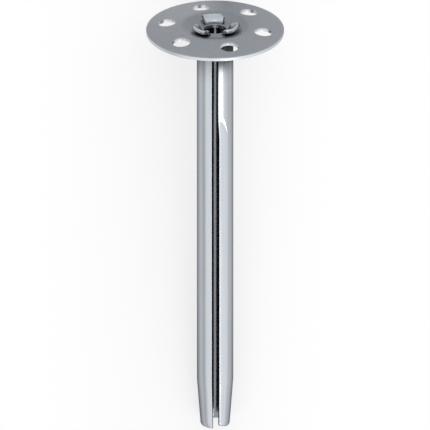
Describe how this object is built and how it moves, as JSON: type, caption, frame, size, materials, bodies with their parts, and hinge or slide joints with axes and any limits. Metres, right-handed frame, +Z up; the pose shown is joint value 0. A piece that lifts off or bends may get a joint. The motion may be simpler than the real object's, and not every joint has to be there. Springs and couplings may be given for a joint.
{
  "type": "metal insulation anchor",
  "caption": "Metal wall anchor for insulation boards: a dished, perforated round plate held by bent tabs on the end of a long, slit, rolled steel sleeve with a tapered tip.",
  "frame": {"origin": "on the surface that the anchor lies on, under the middle of its box", "axes": "+Z up, +Y from the sleeve's tip towards the plate, +X to the right when the slit is looked at with the plate at the top"},
  "size_m": [0.035, 0.113, 0.0348],
  "materials": {
    "zinc_plated_steel": "satin zinc plating on pressed and rolled sheet steel"
  },
  "bodies": {
    "root": {"plate": "zinc_plated_steel", "sleeve": "zinc_plated_steel"}
  },
  "joints": []
}
